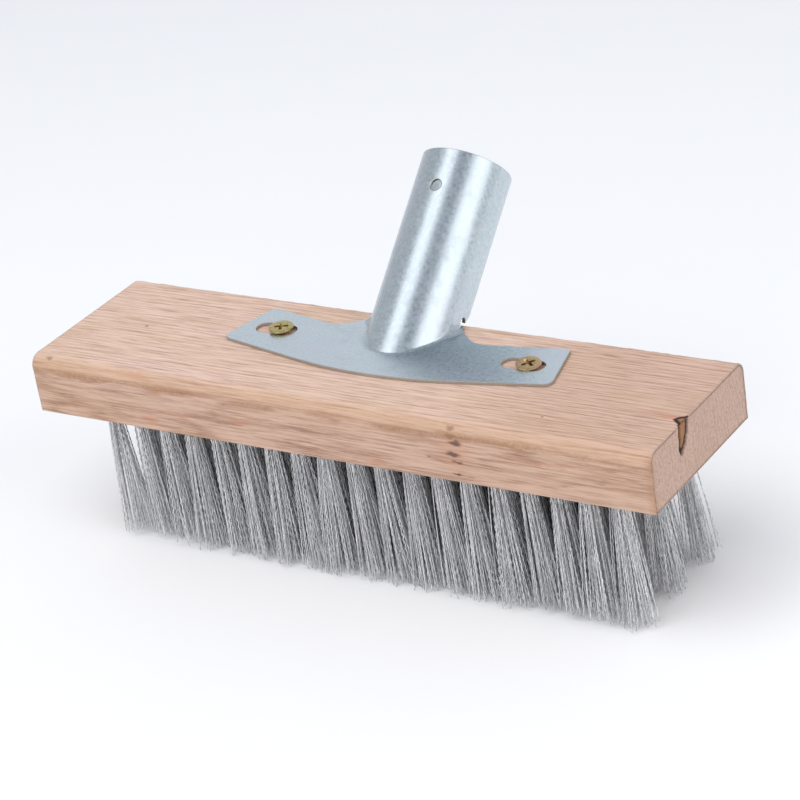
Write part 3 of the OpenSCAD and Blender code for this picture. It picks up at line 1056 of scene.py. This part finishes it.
def bracket_edge(p):
    """Rounding of the sheet's edges, larger at the screw hole, which is lightly countersunk."""
    hole = on_wall(np.array([0.0]), np.array([SOCKET_L - SCREW_HOLE_FROM_RIM]))[0]
    near = np.linalg.norm(p - hole, axis=1) < 4
    return np.where(near, 0.42, EDGE)


def build_bracket():
    points, faces, normals = bracket_skin()
    skin = len(points)
    points, normals, faces = thicken(points, normals, faces, SHEET, bracket_edge)
    obj = make_object("pole_bracket", points, faces, ZINC, normals=normals)
    off = points - AXIS_FOOT
    from_axis = np.linalg.norm(off - (off @ AXIS)[:, None] * AXIS, axis=1)
    cut = np.zeros(len(points))
    cut[2 * skin :] = 1
    # Painted shade: the inside of the socket is painted darker with depth.
    depth = smoothstep(SOCKET_L - off @ AXIS, 10, 24)
    inner = np.where(from_axis < SOCKET_R - 0.8, depth, 0.0)
    set_attributes(obj, inner=inner, cut_edge=cut)
    return obj


bracket = build_bracket()
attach(bracket, "root")
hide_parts("handle_bracket")


# ---- screws ----

HEAD_R = 4.3
THREAD_R, CORE_R, THREAD_PITCH = 2.0, 1.4, 1.6
SCREW_L = 16.0
RIM_LAND = 0.6


def screw_rows():
    """(height below the top, radius, share of thread ridge) down a countersunk screw."""
    rows = [(0.02, 0.5, 0), (0.0, 1.6, 0), (0.0, 2.6, 0), (0.02, 3.6, 0)]
    rows += [(0.25 - 0.25 * math.cos(a) + 0.03, HEAD_R - 0.25 + 0.25 * math.sin(a), 0)
             for a in np.radians([15, 40, 65, 90])]
    rows += [(RIM_LAND, HEAD_R, 0), (RIM_LAND + 0.12, HEAD_R - 0.05, 0)]
    cone = HEAD_R - THREAD_R
    rows += [(RIM_LAND + 0.2 + cone * t, HEAD_R - 0.15 - (cone + 0.35) * t, 0)
             for t in np.linspace(0.08, 1, 6)]
    start = rows[-1][0]
    for z in np.arange(start + 0.2, SCREW_L - 3.0, 0.13):
        rows.append((z, CORE_R, smoothstep(z, start + 0.2, start + 1.2)))
    for z in np.arange(SCREW_L - 3.0, SCREW_L - 0.05, 0.13):
        left = (SCREW_L - z) / 3.0
        rows.append((z, CORE_R * left + 0.03, left))
    return rows


def screw_mesh():
    turns = 48
    rows = screw_rows()
    angle = np.linspace(0, 2 * np.pi, turns + 1)[:-1]
    points = [[0, 0, -0.02]]
    for z, r, ridge in rows:
        phase = (z / THREAD_PITCH - angle / (2 * np.pi)) % 1
        crest = np.clip(1 - np.abs(phase - 0.5) / 0.28, 0, 1)
        radius = r + (THREAD_R - CORE_R) * ridge * crest
        ring = [radius * np.cos(angle), radius * np.sin(angle), np.full(turns, -z)]
        points += np.column_stack(ring).tolist()
    points.append([0, 0, -SCREW_L])
    faces = [[0, 1 + k, 1 + (k + 1) % turns] for k in range(turns)]
    for r in range(len(rows) - 1):
        a = 1 + r * turns
        faces += [[a + k, a + turns + k, a + turns + (k + 1) % turns, a + (k + 1) % turns]
                  for k in range(turns)]
    last, tip = 1 + (len(rows) - 1) * turns, len(points) - 1
    faces += [[last + (k + 1) % turns, last + k, tip] for k in range(turns)]
    return np.array(points), faces


def cross_cutter():
    """A tapered cross with a pointed middle, as the driver's bit leaves it."""
    def ring(z, arm, half):
        corners = [(arm, -half), (arm, half), (half, half)]
        points = []
        for quarter in range(4):
            c, s = math.cos(quarter * math.pi / 2), math.sin(quarter * math.pi / 2)
            points += [(x * c - y * s, x * s + y * c, z) for x, y in corners]
        return points
    rings = ring(0.6, 2.85, 0.62) + ring(-0.9, 2.0, 0.50) + ring(-2.1, 1.15, 0.36)
    faces = [list(range(12))[::-1]]
    for r in range(2):
        a = r * 12
        faces += [[a + k, a + (k + 1) % 12, a + 12 + (k + 1) % 12, a + 12 + k][::-1] for k in range(12)]
    rings.append((0, 0, -2.5))
    faces += [[24 + (k + 1) % 12, 24 + k, 36][::-1] for k in range(12)]
    return rings, [f[::-1] for f in faces]


def build_screw(name, node, turn, tilt, sink):
    points, faces = screw_mesh()
    screw = make_object(name, points, faces, YELLOW)
    cutter_points, cutter_faces = cross_cutter()
    cutter = make_object(name + "_cutter", cutter_points, cutter_faces, YELLOW, smooth=False)
    cut = screw.modifiers.new("recess", "BOOLEAN")
    cut.operation, cut.solver, cut.object = "DIFFERENCE", "EXACT", cutter
    bpy.context.view_layer.update()
    evaluated = screw.evaluated_get(bpy.context.evaluated_depsgraph_get())
    mesh = bpy.data.meshes.new_from_object(evaluated)
    screw.modifiers.clear()
    old = screw.data
    screw.data = mesh
    bpy.data.meshes.remove(old)
    bpy.data.objects.remove(cutter)
    mesh.set_sharp_from_angle(angle=math.radians(35))
    low, high = box_mm(node)
    top = np.array([(low[0] + high[0]) / 2, (low[1] + high[1]) / 2, high[2] - sink])
    place = (
        Matrix.Translation(Vector(top * MM))
        @ Matrix.Rotation(math.radians(tilt[0]), 4, "X")
        @ Matrix.Rotation(math.radians(tilt[1]), 4, "Y")
        @ Matrix.Rotation(math.radians(turn), 4, "Z")
    )
    mesh.transform(place)
    mesh.name = name
    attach(screw, "root")
    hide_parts(node)
    return screw


build_screw("wood_screw_left", "screw_left", 24, (1.5, 1.0), 0.0)
build_screw("wood_screw_right", "screw_right", 58, (3.0, 4.0), 0.35)


# ---- wires ----

WIRES_IN_TUFT = 56
WIRE_R = 0.20
CRIMP = 0.17
CRIMP_HALF = 1.5
WIRE_STEPS = 36
GOLDEN_ANGLE = 2.399963
# Shares of the wires that stand out sideways and that were cut short, and the most cut off.
STRAY_SHARE, SHORT_SHARE, MOST_CUT = 0.04, 0.12, 6.0
WIRE_IN_HOLE = 3.0


def lean_of(x, row):
    """How far the middle of a tuft's ends lies from its root."""
    side = (row - MIDDLE_ROW) / (ROWS - MIDDLE_ROW)
    near_end = smoothstep(x, 60, 96)
    return np.array([WIRE_SET - 0.8 * near_end, ROW_SPLAY * side + 1.0 * near_end * max(side, 0)])


def trim_height(x):
    """The ends are not trimmed quite level along the brush."""
    return 1.5 * smoothstep(-x, 55, 100) + 1.5 * math.exp(-(((x - 72) / 17) ** 2))


def wire_points(rng, centres, row):
    """Rings of every wire of some tufts: wires x steps x 3 corners x 3."""
    z0 = BLOCK_LOW[2]
    all_rings = []
    for cx, cy in centres:
        n = WIRES_IN_TUFT
        k = np.arange(n)
        spread = np.sqrt((k + 0.5) / n)
        angle = k * GOLDEN_ANGLE + rng.uniform(0, 2 * np.pi)
        root_r = spread * (HOLE_R - WIRE_R - 0.05)
        stray = rng.random(n) < STRAY_SHARE
        tip_r = spread * (TIP_R + rng.normal(0, 0.25)) * (1 + rng.normal(0, 0.10, n))
        tip_r = tip_r + stray * rng.uniform(0.3, 1.8, n)
        tip_angle = angle + rng.normal(0, 0.35, n)
        lean = lean_of(cx, row) + rng.normal(0, 0.6, 2)
        root = np.column_stack([
            cx + root_r * np.cos(angle), cy + root_r * np.sin(angle), np.full(n, z0)])
        cut = (
            0.1 + trim_height(cx) + abs(rng.normal(0, 0.35)) + np.abs(rng.normal(0, 0.6, n))
            + (rng.random(n) < SHORT_SHARE) * rng.uniform(0, 2.0, n)
        )
        tip = np.column_stack([
            cx + lean[0] + tip_r * np.cos(tip_angle),
            cy + lean[1] + tip_r * np.sin(tip_angle),
            np.minimum(cut, MOST_CUT)])
        direction = unit(tip - root)
        start = root - direction * WIRE_IN_HOLE
        length = np.linalg.norm(tip - start, axis=1)
        e1 = unit(np.cross(direction, [0, 1, 0]))
        e2 = np.cross(direction, e1)
        bow = rng.normal(0, 0.35, (n, 2))
        crimp_angle = rng.uniform(0, 2 * np.pi, n)
        crimp_dir = np.cos(crimp_angle)[:, None] * e1 + np.sin(crimp_angle)[:, None] * e2
        phase = rng.integers(0, 2, n) * 2 - 1
        shift = rng.uniform(-0.4, 0.4, n) * CRIMP_HALF
        size = CRIMP * (1 + rng.normal(0, 0.2, n))
        s = np.linspace(0, 1, WIRE_STEPS)
        inner = np.clip(s[None, :] * length[:, None] + shift[:, None], 0, length[:, None])
        inner[:, 0], inner[:, -1] = 0, length
        share = inner / length[:, None]
        sag = (share * (1 - share) * 4)
        zigzag = np.where(np.arange(WIRE_STEPS) % 2 == 0, 1.0, -1.0)[None, :] * (phase * size)[:, None]
        axis = (
            start[:, None] + inner[..., None] * direction[:, None]
            + (sag * bow[:, :1])[..., None] * e1[:, None]
            + (sag * bow[:, 1:])[..., None] * e2[:, None]
            + zigzag[..., None] * crimp_dir[:, None]
        )
        corners = []
        for c in range(3):
            a = crimp_angle + c * 2 * np.pi / 3
            corners.append((np.cos(a)[:, None] * e1 + np.sin(a)[:, None] * e2) * WIRE_R)
        corners = np.stack(corners, axis=1)
        rings = axis[:, :, None, :] + corners[:, None, :, :]
        rings[..., 2] = np.maximum(rings[..., 2], 0.0)
        all_rings.append(rings)
    return np.concatenate(all_rings)


def wire_faces(count):
    steps = np.arange(WIRE_STEPS - 1) * 3
    quads = []
    for c in range(3):
        d = (c + 1) % 3
        quads.append(np.column_stack([steps + c, steps + d, steps + 3 + d, steps + 3 + c]))
    quads = np.vstack(quads)
    per_wire = WIRE_STEPS * 3
    offsets = (np.arange(count) * per_wire)[:, None, None]
    sides = (quads[None] + offsets).reshape(-1, 4).tolist()
    last = per_wire - 3
    tips = [[i * per_wire + last, i * per_wire + last + 1, i * per_wire + last + 2] for i in range(count)]
    roots = [[i * per_wire + 2, i * per_wire + 1, i * per_wire] for i in range(count)]
    return sides + tips + roots


def build_wires():
    for row in range(1, ROWS + 1):
        rng = np.random.default_rng(100 + row)
        centres = tuft_centres(row)
        half = len(centres) // 2
        for part, some in (("a", centres[:half]), ("b", centres[half:])):
            rings = wire_points(rng, some, row)
            faces = wire_faces(len(rings))
            obj = make_object(f"wires_row_{row}{part}", rings.reshape(-1, 3), faces, WIRE)
            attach(obj, "root")
            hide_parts(f"tuft_row_{row}")


build_wires()


# ---- anchors, which stay as the CAD makes them ----

for row in range(1, ROWS + 1):
    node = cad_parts[f"anchor_row_{row}"]
    node.data.materials.clear()
    node.data.materials.append(ANCHOR)


# ---- floor, light and camera ----

floor_size = 3000.0
corner = floor_size / 2
floor = make_object(
    "floor",
    [[-corner, -corner, 0], [corner, -corner, 0], [corner, corner, 0], [-corner, corner, 0]],
    [[0, 1, 2, 3]],
    floor_material(),
    smooth=False,
)

SUBJECT = np.array([0.0, 20.0, 80.0])


def direction(azimuth, elevation):
    """Towards that direction: azimuth 0 is -Y, 90 is +X."""
    a, e = math.radians(azimuth), math.radians(elevation)
    return np.array([math.sin(a) * math.cos(e), -math.cos(a) * math.cos(e), math.sin(e)])


def soft_box(name, azimuth, elevation, distance, width, height, radiance, color=(1, 1, 1)):
    light = bpy.data.lights.new(name, "AREA")
    light.shape = "RECTANGLE"
    light.size, light.size_y = width * MM, height * MM
    light.energy = math.pi * radiance * width * height * MM * MM
    light.color = color
    obj = bpy.data.objects.new(name, light)
    bpy.context.scene.collection.objects.link(obj)
    toward = direction(azimuth, elevation)
    obj.location = Vector((SUBJECT + toward * distance) * MM)
    obj.rotation_mode = "QUATERNION"
    obj.rotation_quaternion = Vector(toward).to_track_quat("Z", "Y")
    return obj


soft_box("left_box", -37, 60, 1300, 680, 680, 1.5)
soft_box("right_box", 84, 29, 1300, 1000, 1000, 1.22)
key = soft_box("diffuse_key", -10, 66, 1500, 1300, 1300, 1.9)
key.visible_glossy = False


def build_world():
    """A pale room: brighter behind the brush, darker overhead."""
    world = bpy.data.worlds.new("studio")
    bpy.context.scene.world = world
    world.use_nodes = True
    tree = world.node_tree
    tree.nodes.clear()
    background = tree.nodes.new("ShaderNodeBackground")
    output = tree.nodes.new("ShaderNodeOutputWorld")
    tree.links.new(background.outputs[0], output.inputs["Surface"])
    coord = tree.nodes.new("ShaderNodeTexCoord")
    split = tree.nodes.new("ShaderNodeSeparateXYZ")
    tree.links.new(coord.outputs["Generated"], split.inputs[0])

    def ramp(value, stops):
        node = tree.nodes.new("ShaderNodeValToRGB")
        tree.links.new(value, node.inputs[0])
        set_stops(node.color_ramp, stops)
        return node.outputs[0]

    height = ramp(split.outputs[2], [
        (0.0, (0.56, 0.57, 0.60)), (0.35, (0.56, 0.575, 0.61)),
        (0.70, (0.50, 0.52, 0.56)), (0.88, (0.36, 0.39, 0.44))])
    back = ramp(split.outputs[1], [(0.25, (0.0, 0.0, 0.0)), (0.75, (0.34, 0.35, 0.37))])
    low = ramp(split.outputs[2], [(0.55, (1.0, 1.0, 1.0)), (0.85, (0.0, 0.0, 0.0))])

    ahead = tree.nodes.new("ShaderNodeMath")
    ahead.operation = "MULTIPLY"
    ahead.inputs[1].default_value = -1.0
    tree.links.new(split.outputs[1], ahead.inputs[0])
    front = ramp(ahead.outputs[0], [(0.15, (0.0, 0.0, 0.0)), (0.7, (0.50, 0.50, 0.51))])
    lower = ramp(split.outputs[2], [(0.42, (1.0, 1.0, 1.0)), (0.66, (0.0, 0.0, 0.0))])

    def combine(kind, a, b):
        node = tree.nodes.new("ShaderNodeMix")
        node.data_type, node.blend_type = "RGBA", kind
        node.inputs[0].default_value = 1.0
        tree.links.new(a, node.inputs[6])
        tree.links.new(b, node.inputs[7])
        return node.outputs[2]

    tree.links.new(
        combine("ADD", combine("MULTIPLY", front, lower),
                combine("ADD", height, combine("MULTIPLY", back, low))),
        background.inputs["Color"])
    background.inputs["Strength"].default_value = 1.0


build_world()

CAMERA_TARGET = np.array([34.14, -39.47, 80.20])
CAMERA_DISTANCE = 877.4
CAMERA_AZIMUTH, CAMERA_ELEVATION, CAMERA_ROLL = 35.68, 26.79, math.radians(-9.07)


def build_camera():
    back = direction(CAMERA_AZIMUTH, CAMERA_ELEVATION)
    right = unit(np.cross(-back, UP))
    up = np.cross(right, -back)
    c, s = math.cos(CAMERA_ROLL), math.sin(CAMERA_ROLL)
    rolled_right, rolled_up = right * c + up * s, up * c - right * s
    data = bpy.data.cameras.new("photo_view")
    data.sensor_fit = "HORIZONTAL"
    data.sensor_width = 36
    data.lens = 126.5
    data.clip_start, data.clip_end = 0.05, 20
    camera = bpy.data.objects.new("photo_view", data)
    bpy.context.scene.collection.objects.link(camera)
    matrix = Matrix.Identity(4)
    for k, column in enumerate((rolled_right, rolled_up, back)):
        for row in range(3):
            matrix[row][k] = column[row]
    matrix.translation = Vector((CAMERA_TARGET + back * CAMERA_DISTANCE) * MM)
    camera.matrix_world = matrix
    bpy.context.scene.camera = camera


build_camera()
bpy.context.scene.view_settings.view_transform = "Standard"
